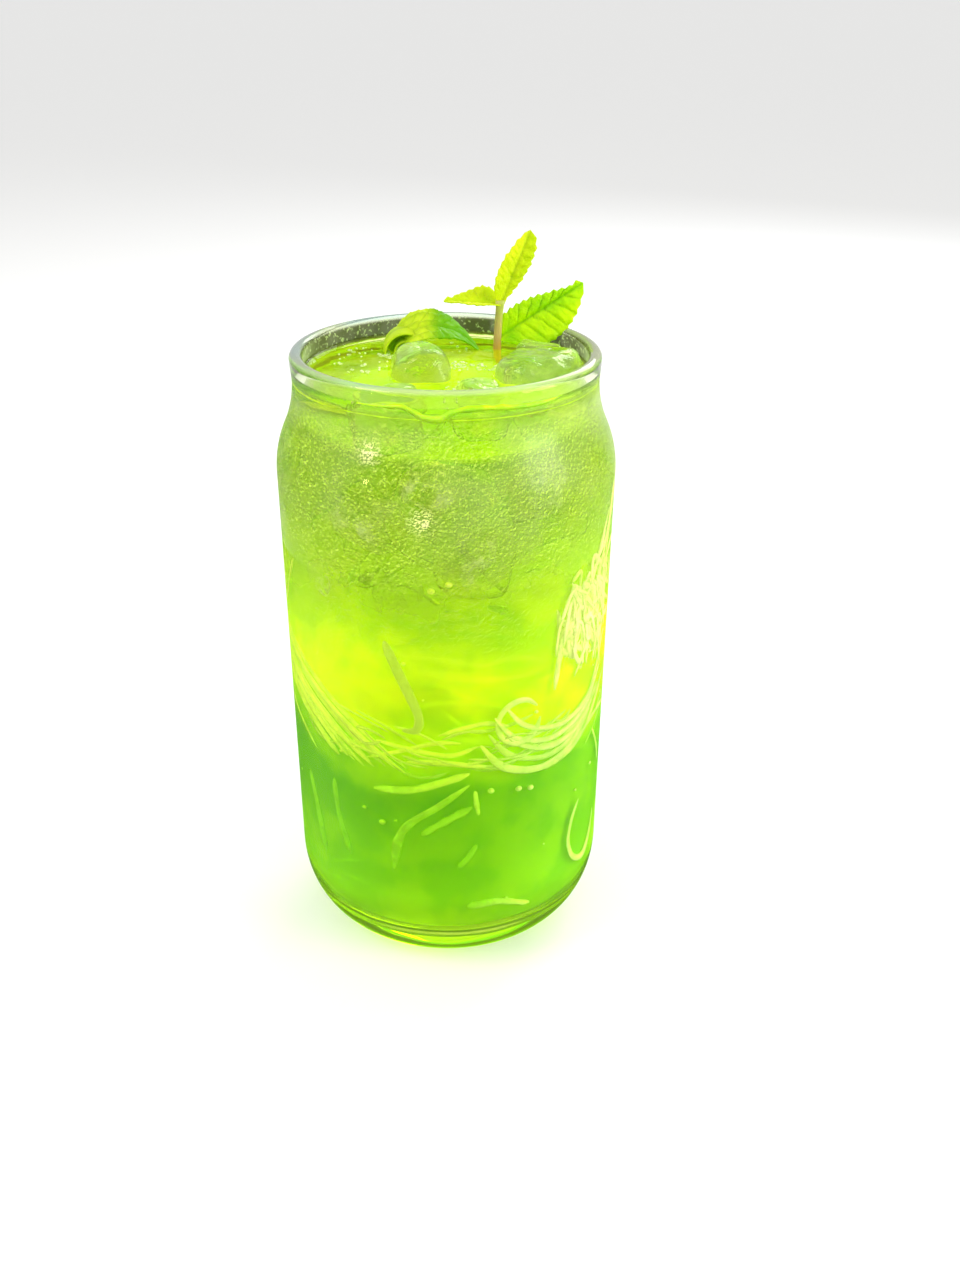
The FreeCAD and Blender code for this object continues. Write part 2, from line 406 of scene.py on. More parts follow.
# ---------------------------------------------------------------- ice
def lump(size, taper, dish, bumps, seed, centre, angles, cuts, shrink=0.0, power=4.6):
    """Rounded block: a cube's skin drawn to a superellipsoid, tapered, dished and melted uneven."""
    wide, deep, high = (c / 2 - shrink for c in size)
    yaw, pitch, roll = (math.radians(v) for v in angles)
    turn = Matrix.Rotation(yaw, 3, "Z") @ Matrix.Rotation(pitch, 3, "Y") @ Matrix.Rotation(roll, 3, "X")
    bm = bmesh.new()
    bmesh.ops.create_cube(bm, size=2.0)
    bmesh.ops.subdivide_edges(bm, edges=bm.edges, cuts=cuts, use_grid_fill=True)
    verts = []
    for v in bm.verts:
        q = Vector([math.tan(c * 0.76) / math.tan(0.76) for c in v.co])
        q *= (abs(q.x) ** power + abs(q.y) ** power + abs(q.z) ** power) ** (-1.0 / power)
        thin = 1.0 - (1.0 - taper) * (0.5 - 0.5 * q.z)
        s = Vector((q.x * wide * thin, q.y * deep * thin, q.z * high))
        if q.z > 0:
            s.z -= dish * math.exp(-((q.x ** 2 + q.y ** 2) * 3.0)) * q.z
        s += s.normalized() * (bumps * noise.noise(s * 0.22 + Vector((seed, seed * 1.7, 0))))
        verts.append(turn @ s + Vector(centre))
    faces = [[v.index for v in f.verts] for f in bm.faces]
    bm.free()
    return verts, faces


# at the surface: size, taper, hollow in the top, seed of its bumps, centre, turned by
ICE = {
    "ice_centre": ((12.6, 18.0, 18.0), 0.88, 0.0, 1, (-5.5, -1.6, LEVEL_Z - 3.4), (6, 4, -4)),
    "ice_right": ((17.0, 19.0, 19.0), 0.86, 0.0, 4, (19.9, -2.6, LEVEL_Z - 4.8), (-20, -6, 3)),
    "ice_front_right": ((9.5, 10.0, 12.0), 0.88, 0.7, 7, (6.8, -14.2, LEVEL_Z - 3.6), (34, 8, 10)),
    "ice_front_left": ((14.0, 11.0, 13.0), 0.88, 0.7, 10, (-10.6, -17.6, LEVEL_Z - 5.1), (16, -3, 4)),
    "ice_back": ((11.5, 6.4, 14.0), 0.88, 0.7, 13, (20.3, 11.1, LEVEL_Z - 3.2), (-13, 3, -3)),
}

# white hearts close to the wall: degrees round from the front, height, depth, size
WALL_HEARTS = [
    (13, 104, 6.5, (13, 10, 13)), (-30, 111, 6.5, (17, 10, 12)), (38, 117, 6.0, (13, 9, 11)),
    (-4, 119, 6.5, (14, 9, 9)), (-52, 95, 6.0, (10, 8, 11)), (105, 108, 6.5, (15, 10, 13)),
    (160, 100, 6.5, (15, 10, 13)), (-115, 112, 6.5, (15, 10, 13)), (-165, 117, 6.5, (13, 10, 10)),
]


def melted(name, shrink=0.0):
    """One block of ice at the surface."""
    size, taper, dish, seed, centre, angles = ICE[name]
    return lump(size, taper, dish, 1.0, seed, centre, angles, 18, shrink, power=3.8)


def cut_pockets(drink):
    """Takes room for the ice out of the drink."""
    cutter = mesh_from("cutter", *gather([melted(name, POCKET) for name in ICE]))
    cut = drink.modifiers.new("cut", "BOOLEAN")
    cut.operation = "DIFFERENCE"
    cut.solver = "EXACT"
    cut.object = cutter
    solid = drink.evaluated_get(bpy.context.evaluated_depsgraph_get())
    mesh = bpy.data.meshes.new_from_object(solid)
    drink.modifiers.clear()
    drink.data = mesh
    make_smooth(mesh)
    bpy.data.objects.remove(cutter)


def heart(size, bumps, seed, centre, angles, taper=0.8, cuts=6):
    """The white middle of a block of ice."""
    return lump(size, taper, 0.0, bumps, seed, centre, angles, cuts, power=2.2)


def make_sunk_ice():
    """The blocks under the surface as one piece, the hearts of all the ice as another."""
    rng = random.Random(5)
    blocks, hearts = [], []
    for i, (size, _, _, _, (x, y, z), angles) in enumerate(ICE.values()):
        hearts.append(heart([c * 0.45 for c in size], 1.6, 2.0 * i, (x, y, z - 3.0), angles))
    for k in range(9):
        deg = 40 * k + rng.uniform(-12, 12)
        r = rng.uniform(12, 19)
        centre = around(deg, r, LEVEL_Z - 22 - 9.5 * (k % 3) - rng.uniform(0, 5))
        size = [rng.uniform(15, 19) for _ in range(3)]
        angles = [rng.uniform(-40, 40) for _ in range(3)]
        blocks.append(lump(size, 0.9, 0.8, 0.6, 11 + k, centre, angles, cuts=8))
        hearts.append(heart([c * 0.55 for c in size], 2.0, 31 + k, centre, angles))
    blocks.append(lump((15, 14, 15), 0.9, 0.5, 0.7, 77, on_wall(13, 104, 8.0), (13, 6, 12), cuts=10))
    for deg, z, depth, size in WALL_HEARTS:
        hearts.append(heart(size, 1.8, deg + 3.0, on_wall(deg, z, depth), (deg, 6, 12), 0.9, 8))
    return mesh_from("ice_sunk", *gather(blocks)), mesh_from("ice_cloud", *gather(hearts))


# ---------------------------------------------------------------- bubbles
def ball(centre, r, rows, cols, squash=1.0):
    verts = []
    for k in shares(rows):
        out = r * math.sin(math.pi * k)
        up = r * math.cos(math.pi * k) * squash
        verts += [Vector(centre) + Vector((out * math.cos(b), out * math.sin(b), up)) for b in turns(cols)]
    return verts, woven(rows + 1, cols)


def ringlet(centre, r, wire, around_it=18):
    """The bright rim of a bubble at the surface."""
    around_wire = 6
    verts = []
    for a in turns(around_it):
        for b in turns(around_wire):
            d = r + wire * math.cos(b)
            verts.append(Vector(centre) + Vector((d * math.cos(a), d * math.sin(a), wire * math.sin(b))))
    return verts, woven(around_it, around_wire, closed=True)


def bubble(x, y, r):
    """A dot, or a ring with a glint where the bubble is large enough to see into."""
    place = (x, y, LEVEL_Z + 0.12)
    if r > 0.38:
        glint = ball((x - r * 0.4, y + r * 0.2, LEVEL_Z + 0.25), 0.12, 4, 6)
        return [ringlet(place, r, 0.09), glint]
    return [ball(place, r, 5, 8, 0.8)]


# patches of froth: how many, middle, half widths, least and greatest radius
FROTH = [
    (8, (2.9, 3.2), (1.2, 1.6), 0.15, 0.5),
    (34, (-18.5, 7.0), (6.5, 11.0), 0.14, 0.5),
    (14, (-13.0, 12.0), (2.5, 3.0), 0.2, 0.6),
    (16, (9.0, 2.5), (2.6, 3.2), 0.16, 0.45),
    (14, (3.0, -12.0), (3.0, 5.0), 0.16, 0.45),
    (18, (2.0, 19.0), (12.0, 5.0), 0.14, 0.4),
    (12, (-3.0, -24.0), (14.0, 3.0), 0.14, 0.4),
]


def make_bubbles():
    """Froth at the surface: one large bubble in a ring of small ones, and loose patches."""
    rng = random.Random(23)
    parts = []
    x, y = 2.9, 3.2
    for turn in turns(15):
        a = turn + rng.uniform(-0.2, 0.2)
        wide = rng.uniform(0.8, 1.15)
        r = rng.uniform(0.18, 0.45)
        parts += bubble(x + 2.4 * wide * math.cos(a), y + 3.4 * wide * math.sin(a), r)
    parts.append(ringlet((x, y, LEVEL_Z + 0.1), 1.3, 0.12, 28))
    for count, (x, y), (wide, deep), least, greatest in FROTH:
        for _ in range(count):
            a = rng.uniform(0, 2 * math.pi)
            d = math.sqrt(rng.random())
            r = rng.uniform(least, greatest)
            parts += bubble(x + wide * d * math.cos(a), y + deep * d * math.sin(a), r)
    return mesh_from("bubbles", *gather(parts))


# ---------------------------------------------------------------- shredded coconut
def ribbon(points, width, thick, rng):
    """One shred: a flat strip along a smooth path, uneven in width, tapered at its ends."""
    path = smooth_path([Vector(p) for p in points])
    last = len(path) - 1
    twist = rng.uniform(0, 3)
    turn = rng.uniform(-1.2, 1.2)
    seed = rng.uniform(0, 50)
    sides = 8
    verts = []
    for i, p in enumerate(path):
        k = i / last
        along = (path[min(i + 1, last)] - path[max(i - 1, 0)]).normalized()
        side = along.cross(Vector((p.x, p.y, 0.0)).normalized())
        if side.length < 1e-3:
            side = Vector((0, 0, 1))
        side.normalize()
        up = side.cross(along).normalized()
        a = twist + turn * k
        u = (side * (0.4 * math.cos(a) + 0.6) + up * math.sin(a) * 0.35).normalized()
        w = along.cross(u).normalized()
        end = min(1.0, 0.25 + 5 * min(k, 1 - k))
        half = width / 2 * end * (1 + 0.28 * noise.noise(Vector((k * 6, seed, 0))))
        flat = thick / 2 * end * (1 + 0.3 * noise.noise(Vector((k * 5, seed, 7))))
        for t in turns(sides):
            verts.append(p + u * (half * math.cos(t)) + w * (flat * math.sin(t)))
    return verts, tube(len(path), sides)


def arc(deg0, z0, deg1, z1, sag, depth):
    """Points of a shred that lies along the wall from one place to another, bowed by sag."""
    pts = []
    for k in shares(4):
        z = z0 + (z1 - z0) * k + sag * math.sin(math.pi * k)
        pts.append(on_wall(deg0 + (deg1 - deg0) * k, z, depth))
    return pts


class Shreds:
    """Strips of coconut, and for each of their points how white it is."""

    def __init__(self):
        self.rng = random.Random(11)
        self.strips = []
        self.whiteness = []

    def add(self, points, width, white=1.0, thick=0.6):
        strip = ribbon(points, width, thick, self.rng)
        self.strips.append(strip)
        self.whiteness += [white * self.rng.uniform(0.75, 1.0)] * len(strip[0])

    def along(self, stations, depth, width, white=1.0, lift=0.0, turn=0.0):
        """A strip through (degrees, height) stations, moved up by lift and round by turn."""
        points = [on_wall(deg + turn, z + lift, depth + self.rng.uniform(-0.2, 0.3)) for deg, z in stations]
        self.add(points, width, white)

    def along_each(self, table):
        for row in table:
            self.along(*row)


BOW = [(13, 62.5), (21, 56.5), (34, 53.5), (46, 53.8), (56, 56.4), (66, 61)]
BOW_STRIPS = [(0, 0, 1.9), (2.4, 3, 1.5), (4.6, 7, 1.7), (6.6, 5, 1.4), (9.0, 9, 1.4)]  # up, round, width
LOOP = [(28 + 8.5 * math.cos(t + 0.6), 66.8 + 5.2 * math.sin(t + 0.6)) for t in turns(10)]

# strips along the wall: (degrees round from the front, height) stations, depth, width, whiteness
MEETING_STRIPS = [
    ([(40, 52), (53, 54), (66, 58), (80, 66)], 1.2, 1.2),
    ([(46, 57), (58, 61), (70, 68), (80, 78)], 1.6, 1.1),
    ([(52, 53), (63, 57), (75, 58), (84, 57)], 1.0, 1.1),
    (LOOP, 1.0, 1.6),
    ([(-2, 65), (8, 67), (16, 67.5), (24, 66)], 1.8, 1.0),
    ([(-26, 62), (-12, 61), (2, 60), (12, 62)], 2.0, 1.1),
    ([(-14, 58), (0, 58.5), (14, 57), (28, 55)], 1.2, 1.2),
    ([(-30, 57), (-18, 60), (-4, 63), (6, 63)], 1.8, 1.0),
]
HANGING_STRIPS = [
    ([(-27, 49.8), (-13, 51), (-2, 53.2), (9, 55.6)], 1.0, 1.9),
    ([(9, 52.5), (-2, 47.2), (-13, 42), (-18, 36.5), (-20, 28.5)], 1.0, 2.0, 0.7),
    ([(-9, 39), (0, 43), (10, 46.5)], 1.3, 1.8, 0.55),
    ([(11, 51), (11.5, 48), (12.5, 44.5)], 0.9, 1.3),
    ([(5, 30), (9, 33), (12, 36)], 2.0, 1.3, 0.4),
    ([(-66, 44), (-60, 34), (-56, 24)], 2.2, 2.0, 0.3),
    ([(-48, 47), (-46, 38), (-40, 28)], 2.2, 1.6, 0.2),
    ([(8, 19), (21, 19), (35, 15.5)], 1.2, 1.9),
    # the thick strand in the bright band
    ([(-21, 87), (-18, 83), (-13, 76), (-9, 70), (-10, 66.5), (-15, 66)], 1.0, 2.3, 0.25),
    # the hook at the right edge
    ([(60, 38), (56, 34), (54, 28), (58, 22), (66, 19.5), (73, 23), (76, 29)], 0.9, 1.7),
    ([(70, 54), (76, 48), (80, 42)], 0.9, 1.1),
]
PLACED_CRUMBS = [(17, 50.5), (28, 49.5), (33, 48.8), (-24, 41), (-4, 99.5), (2, 101)]


def lay_fan(shreds):
    """The fan that runs down from the left, and three short strips by it."""
    rng = shreds.rng
    for k in shares(11):
        to_deg = -14 - 30 * k + rng.uniform(-4, 4)
        to_z = 56 - k + rng.uniform(-1, 1)
        points = arc(-86 + 5 * k, 79 - 13 * k, to_deg, to_z, 2.2 - k, 0.9 + 1.3 * rng.random())
        width = rng.uniform(0.9, 1.6)
        shreds.add(points, width, rng.uniform(0.75, 1.0))
    shreds.add(arc(-80, 60, -56, 53, 0.6, 0.9), 1.0)
    shreds.add(arc(-66, 98, -80, 84, 0.0, 0.9), 0.9)
    shreds.add(arc(-84, 96, -78, 88, 0.3, 0.9), 0.8)


def lay_meeting(shreds):
    """The bowed handful above the meeting of the layers, and the fine strands across it."""
    rng = shreds.rng
    for lift, turn, width in BOW_STRIPS:
        shreds.along(BOW, rng.uniform(0.8, 1.8), width, lift=lift, turn=turn)
    shreds.along_each(MEETING_STRIPS)
    for _ in range(44):
        deg = rng.gauss(8, 30)
        z = rng.gauss(61 - 0.05 * deg, 4.0)
        slope = -0.18 if deg < -12 else 0.22 * (deg - 5) / 40
        reach = rng.uniform(9, 26)
        to_z = z + slope * reach + rng.uniform(-2.5, 2.5)
        points = arc(deg, z, deg + reach, to_z, rng.uniform(-2.2, 1.4), rng.uniform(0.7, 2.4))
        width = rng.uniform(0.4, 0.9)
        shreds.add(points, width, rng.uniform(0.3, 0.9), thick=0.4)


def lay_clump(shreds):
    """The ragged clump at the right, with a long tail up the wall."""
    rng = shreds.rng
    for _ in range(120):
        deg = rng.uniform(50, 76)
        z = rng.uniform(80, 96)
        lean = rng.uniform(-8, 10)
        middle = (deg + lean, z + rng.uniform(-7, 4))
        end = (deg + lean + rng.uniform(-6, 6), z + rng.uniform(-11, 2))
        depth = rng.uniform(0.7, 2.4)
        shreds.along([(deg, z), middle, end], depth, rng.uniform(0.9, 1.7))
    for i in range(8):
        deg = 60 + 2 * i + rng.uniform(-2, 2)
        z = 93 + rng.uniform(-4, 2)
        to_z = 101 + 2 * i + rng.uniform(-3, 3)
        points = arc(deg, z, 73 + 2.5 * i, to_z, rng.uniform(0.2, 1.6), 0.9 + 0.2 * i)
        shreds.add(points, rng.uniform(0.6, 1.1))


def lay_loose(shreds):
    """Shreds further in, and round the far side."""
    rng = shreds.rng
    for _ in range(46):
        deg = rng.uniform(-180, 180)
        z = rng.uniform(56, 80)
        to_deg = deg + rng.uniform(25, 80)
        to_z = z + rng.uniform(-8, 8)
        points = arc(deg, z, to_deg, to_z, rng.uniform(-5, 5), rng.uniform(3.5, 18))
        shreds.add(points, rng.uniform(0.9, 1.4))
    for _ in range(20):
        deg = rng.uniform(95, 240)
        z = rng.uniform(54, 80)
        to_deg = deg + rng.uniform(15, 45)
        to_z = z + rng.uniform(-12, 6)
        shreds.add(arc(deg, z, to_deg, to_z, rng.uniform(-4, 4), rng.uniform(0.9, 2.2)), 1.2)


def crumbs(rng):
    out = []
    for _ in range(70):
        deg = rng.uniform(-180, 180)
        z = rng.gauss(60, 16)
        if 12 < z < 120:
            place = on_wall(deg, z, rng.uniform(0.9, 2.6))
            out.append(ball(place, rng.uniform(0.2, 0.6), 4, 6, 0.7))
    return out + [ball(on_wall(deg, z, 1.0), 0.8, 5, 8, 0.8) for deg, z in PLACED_CRUMBS]


def make_coconut():
    shreds = Shreds()
    lay_fan(shreds)
    lay_meeting(shreds)
    shreds.along_each(HANGING_STRIPS)
    lay_clump(shreds)
    lay_loose(shreds)
    verts, faces = gather(shreds.strips + crumbs(shreds.rng))
    ob = mesh_from("coconut_shreds", verts, faces)
    tag(ob, shreds.whiteness + [1.0] * (len(verts) - len(shreds.whiteness)))
    return ob


# ---------------------------------------------------------------- mint
LEAF_T = 0.34
LEAF_FOOT = -0.02  # where a leaf begins, as a share of its length


def edge_line(shape, teeth, tooth, stalk):
    """Half width of a leaf along its length, saw teeth included, as a function."""
    most, peak, point = shape

    def oval(s):
        a, b = peak * point, (1 - peak) * point
        return max(stalk, most * (s / peak) ** a * ((1 - s) / (1 - peak)) ** b)

    knots = [(LEAF_FOOT, stalk)]
    start = 0.10
    step = (0.97 - start) / teeth
    for i in range(teeth):
        hollow = start + i * step
        tip = hollow + 0.72 * step
        bite = 0.6 + 0.8 * abs(noise.noise(Vector((i * 1.7, most * 3.1, point))))
        knots += [(hollow, oval(hollow)), (tip, oval(tip) + tooth * bite)]
    knots.append((1.0, 0.0))

    def half(s):
        for (a, ya), (b, yb) in zip(knots, knots[1:]):
            if a <= s <= b:
                return ya + (yb - ya) * (s - a) / (b - a)
        return 0.0

    return half


def leaf(origin, along, up, length, left, right, fold, ruffle, teeth, tooth, veins, swell,
         stalk=0.8, arch=0.0, twist=0.0, folds=False):
    """A leaf with its midrib sunk, side veins, and the blade swollen between them.

    left and right: greatest half width, where it is along the length, how pointed the leaf is.
    """
    ex = Vector(along).normalized()
    ez = Vector(up)
    ez = (ez - ex * ez.dot(ex)).normalized()
    ey = ez.cross(ex)
    halves = {1: edge_line(left, teeth, tooth, stalk), -1: edge_line(right, teeth, tooth, stalk)}
    reach = max(left[0], right[0]) + 1.5
    rows, across = teeth * 14, 14
    top, low, tones = [], [], []
    for share in shares(rows):
        s = LEAF_FOOT + (1.0 - LEAF_FOOT) * share
        for t in [j / across for j in range(-across, across + 1)]:
            sign = 1 if t >= 0 else -1
            half = halves[sign](s)
            x = length * s
            y = t * half
            # side is one on a side vein and nought between two, mid is one on the midrib
            stray = 0.22 * noise.noise(Vector((s * 6, t * 2.5 + 9 * veins, length)))
            phase = (s - 0.16 * abs(t) ** 0.8) * veins + (0.5 if sign > 0 else 0.0) + stray
            side = (abs((phase % 1.0) - 0.5) * 2) ** 6
            mid = math.exp(-(y / 0.38) ** 2)
            fine = abs(math.sin(phase * 6.3 + 5 * abs(t)))
            crumple = 0.0
            if folds and s < 0.55:
                crumple = (1 - abs(math.sin(7.5 * t + 3.0 * s + 2.5 * stray))) ** 2
            body = min(1.0, 3.0 * s) * min(1.0, 6 * (1 - s)) * min(1.0, half / 1.5)
            # the height: the fold along the midrib and the bend of the whole leaf, then its relief
            h = fold * (math.sqrt(y * y + 0.3) - math.sqrt(0.3))
            h += ruffle * math.sin(9.0 * s + 0.8 * sign) * (y / reach) ** 2
            h += arch * (1 - (2 * s - 1) ** 2) + twist * (0.45 - s) * y
            h += 0.45 * crumple * body
            h += swell * body * (1 - side) * (1 - mid) * (1 - abs(t) ** 6)
            h += 0.05 * body * fine - 0.16 * mid * min(1.0, 8 * (1 - s))
            h += 0.22 * body * noise.noise(Vector((x * 0.9, y * 0.9, 4.0)))
            point = Vector(origin) + ex * x + ey * y
            top.append(point + ez * (h + LEAF_T))
            low.append(point + ez * h)
            # painted shade: the crumpled creases take the darker vein colour
            vein_and_crease_shade = max(mid, side * body * 0.8, 0.25 * (1 - fine) ** 4 * body, crumple)
            tones.append((vein_and_crease_shade, abs(t) ** 3, s))
    return top + low, sheet(rows + 1, 2 * across + 1), tones + tones


ROLL_AT = Vector((-8.8, 15.6, LEVEL_Z + 0.6))


def rolled_end():
    """The rolled end of the loose leaf: a strip wound about one and a half turns."""
    outer, inner, tones = [], [], []
    rows, across = 44, 8
    for k in shares(rows):
        a = math.radians(205 - 560 * k)
        wide = 3.4 * (1 - 0.3 * k)
        for t in [2 * share - 1 for share in shares(across)]:
            r = (5.6 - 3.5 * k) * (1 + 0.07 * t * math.sin(5 * k)) + 0.25 * math.sin(9 * k + 2 * t)
            p = ROLL_AT + Vector((r * math.cos(a), wide * t - 0.5 * k, 0.92 * r * math.sin(a)))
            outer.append(p)
            inner.append(p + (Vector((ROLL_AT.x, p.y, ROLL_AT.z)) - p).normalized() * 0.4)
            tones.append((max(0.0, 1 - abs(t) * 6) * 0.8, abs(t) ** 3, 0.2))
    return outer + inner, sheet(rows + 1, across + 1), tones + tones


def stem(foot, node, half):
    """A square stem with rounded edges, bowed a little and thicker at the node."""
    rows, sides = 26, 20
    square = 3.2
    verts = []
    for k in shares(rows - 1):
        centre = foot + (node - foot) * k - Vector((0.5 * math.sin(math.pi * k), 0, 0))
        size = half * (1.0 - 0.12 * k) * (1 + 2.5 * max(0.0, k - 0.9))
        for t in turns(sides):
            c, s = math.cos(t), math.sin(t)
            grow = (abs(c) ** square + abs(s) ** square) ** (-1 / square)
            verts.append(centre + Vector((size * grow * c, size * grow * s, 0)))
    return verts, tube(rows, sides)


def with_tones(name, parts):
    """Leaves as one piece that keeps, per point: the vein mark, which also darkens creases as painted
    shade, how near the edge, how far along.
    """
    verts, faces = gather([part[:2] for part in parts])
    tones = [tone for part in parts for tone in part[2]]
    ob = mesh_from(name, verts, faces)
    layer = ob.data.color_attributes.new("tone", "FLOAT_COLOR", "POINT")
    for point, tone in zip(layer.data, tones):
        point.color = (*tone, 1.0)
    return ob


def make_mint():
    """The young leaves, the broad leaf, the stem and the loose leaf, as four pieces."""
    node = Vector((11.6, 17.8, LEVEL_Z + 10.0))
    foot = Vector((11.4, 18.0, LEVEL_Z - 11.0))
    tall = leaf(node + Vector((0.1, 0, 0.3)), (6.2, 0.0, 15.6), (0.3, -1.0, 0.3), 16.8,
                (3.3, 0.38, 1.3), (2.6, 0.65, 1.5),
                fold=0.28, ruffle=0.4, teeth=8, tooth=0.42, veins=7, swell=0.16)
    left = leaf(node + Vector((-0.2, 0, -0.2)), (-12.2, -1.0, 0.9), (0.1, -0.3, 0.95), 12.4,
                (3.2, 0.40, 1.3), (3.6, 0.26, 1.6),
                fold=0.55, ruffle=0.4, teeth=7, tooth=0.42, veins=6, swell=0.16)
    right = leaf(node + Vector((0.1, 0, -7.1)), (18.3, 1.7, 11.6), (-0.15, -1.0, 0.20), 21.6,
                 (3.7, 0.28, 1.9), (6.9, 0.46, 1.6),
                 fold=0.18, ruffle=0.9, teeth=11, tooth=0.62, veins=8, swell=0.55)
    curl = leaf((-13.4, 17.2, LEVEL_Z - 0.8), (20.6, 0.6, 0.2), (0.0, -0.5, 0.87), 20.6,
                (4.8, 0.34, 1.3), (4.8, 0.34, 1.3),
                fold=0.18, ruffle=0.5, teeth=10, tooth=0.35, veins=8, swell=0.3,
                stalk=1.0, arch=7.6, twist=0.5, folds=True)
    young = with_tones("mint_leaves_top", [tall, left])
    broad = with_tones("mint_leaf_broad", [right])
    stalk = mesh_from("mint_stem", *stem(foot, node + Vector((0, 0, 0.9)), 0.95))
    return young, broad, stalk, with_tones("mint_leaf_loose", [curl, rolled_end()])


# ---------------------------------------------------------------- materials
GLASS_IOR = 1.5
DRINK_IOR = 1.34
ICE_IOR = 1.31
WHITE = (1, 1, 1)
BLACK = (0, 0, 0)
CLEAR = {"Base Color": WHITE, "Transmission Weight": 1.0, "IOR": 1.0, "Roughness": 0.0}


class Paint:
    """One material: a principled shader, with short names for the nodes that feed it."""

    def __init__(self, name, looks):
        self.material = bpy.data.materials.new(name)
        self.material.use_nodes = True
        self.nodes = self.material.node_tree.nodes
        self.nodes.clear()
        self.out = self.nodes.new("ShaderNodeOutputMaterial")
        self.shader = self.nodes.new("ShaderNodeBsdfPrincipled")
        self.fill(self.out, "Surface", self.shader.outputs[0])
        for socket, value in looks.items():
            self.look(socket, value)

    def fill(self, node, socket, value):
        """Sets a socket to a number or colour, or links it to what another node gives."""
        plug = node.inputs[socket]
        if isinstance(value, bpy.types.NodeSocket):
            self.material.node_tree.links.new(value, plug)
        elif plug.type == "RGBA":
            plug.default_value = (*value, 1)
        else:
            plug.default_value = value

    def look(self, socket, value):
        self.fill(self.shader, socket, value)

    def node(self, kind, inputs, **traits):
        new = self.nodes.new("ShaderNode" + kind)
        for trait, value in traits.items():
            setattr(new, trait, value)
        for socket, value in inputs.items():
            self.fill(new, socket, value)
        return new

    # numbers
    def math(self, operation, a, b, clamp=False):
        return self.node("Math", {0: a, 1: b}, operation=operation, use_clamp=clamp).outputs[0]

    def plus(self, a, b):
        return self.math("ADD", a, b)

    def minus(self, a, b):
        return self.math("SUBTRACT", a, b)

    def times(self, a, b, clamp=False):
        return self.math("MULTIPLY", a, b, clamp)

    def span(self, value, low, high, out_low=0.0, out_high=1.0, kind="SMOOTHSTEP"):
        """Goes from out_low to out_high while the value goes from low to high."""
        inputs = {0: value, 1: low, 2: high, 3: out_low, 4: out_high}
        return self.node("MapRange", inputs, interpolation_type=kind).outputs[0]

    # places on the piece
    def place(self):
        return self.node("TexCoord", {}).outputs["Object"]

    def xyz(self):
        return self.node("SeparateXYZ", {0: self.place()}).outputs

    def by_height(self, low, high, out_low=0.0, out_high=1.0):
        """Goes from out_low to out_high between two heights in millimetres."""
        return self.span(self.xyz()[2], low * MM, high * MM, out_low, out_high)

    def axis_distance(self):
        x, y, _ = self.xyz()
        return self.math("SQRT", self.plus(self.times(x, x), self.times(y, y)), 0.0)

    def close_to(self, place, full, none):
        """One within full millimetres of a place on the piece, nought beyond none."""
        inputs = {0: self.place(), 1: [c * MM for c in place]}
        gap = self.node("VectorMath", inputs, operation="DISTANCE")
        return self.span(gap.outputs["Value"], full * MM, none * MM, 1.0, 0.0)

    def mark(self):
        return self.node("Attribute", {}, attribute_name="mark").outputs["Fac"]

    def entering(self):
        """One where light meets the outside of a body, nought where it leaves."""
        return self.minus(1.0, self.node("NewGeometry", {}).outputs["Backfacing"])

    # patterns and colours
    def grain(self, scale, detail=3, rough=0.5, stretch=None, shift=None):
        """Noise in the piece's own coordinates (metres)."""
        place = self.place()
        if stretch or shift:
            inputs = {"Vector": place, "Scale": stretch or (1, 1, 1), "Location": shift or (0, 0, 0)}
            place = self.node("Mapping", inputs).outputs[0]
        inputs = {"Vector": place, "Scale": scale, "Detail": detail, "Roughness": rough}
        return self.node("TexNoise", inputs).outputs[0]

    def ridges(self, scale, gain):
        """Relief lit from one side: the noise less the same noise a little lower down."""
        step = 0.2 / scale
        here = self.grain(scale, 2, 0.6)
        there = self.grain(scale, 2, 0.6, shift=(0.4 * step, 0.4 * step, -step))
        return self.times(self.minus(here, there), gain)

    def mix(self, share, a, b, kind="MIX"):
        return self.node("Mix", {0: share, 6: a, 7: b}, data_type="RGBA", blend_type=kind).outputs[2]

    def ramp(self, value, stops):
        """A colour that changes with the value, through (value, colour) stops."""
        node = self.node("ValToRGB", {0: value})
        elements = node.color_ramp.elements
        while len(elements) < len(stops):
            elements.new(0.5)
        for element, (at, colour) in zip(elements, stops):
            element.position = at
            element.color = (*colour, 1)
        return node.outputs[0]

    def bump(self, height, distance):
        self.look("Normal", self.node("Bump", {"Height": height, "Distance": distance}).outputs[0])

    # shaders
    def calmer(self, ior, share):
        """The same clear surface with a share of its mirroring taken away."""
        inputs = {"Color": WHITE, "Roughness": 0.0, "IOR": ior}
        clear = self.node("BsdfRefraction", inputs)
        for normal in self.shader.inputs["Normal"].links:
            self.fill(clear, "Normal", normal.from_socket)
        return self.node("MixShader", {0: share, 1: self.shader.outputs[0], 2: clear.outputs[0]})

    def let_light_through(self, tint=WHITE, shader=None):
        """Shadow rays pass through, so that what is inside is lit."""
        path = self.node("LightPath", {})
        clear = self.node("BsdfTransparent", {"Color": tint})
        shown = (shader or self.shader).outputs[0]
        mix = self.node("MixShader", {0: path.outputs["Is Shadow Ray"], 1: shown, 2: clear.outputs[0]})
        self.fill(self.out, "Surface", mix.outputs[0])

    def absorb(self, colour, density):
        """Colours the light that crosses the body."""
        volume = self.node("VolumeAbsorption", {"Color": colour, "Density": density})
        self.fill(self.out, "Volume", volume.outputs[0])
        return volume

    def glow_inside(self, volume, colour, strength):
        """Adds a painted glow: the body gives off light of its own, though it is no lamp."""
        glow = self.node("Emission", {"Color": colour, "Strength": strength})
        both = self.node("AddShader", {0: volume.outputs[0], 1: glow.outputs[0]})
        self.fill(self.out, "Volume", both.outputs[0])

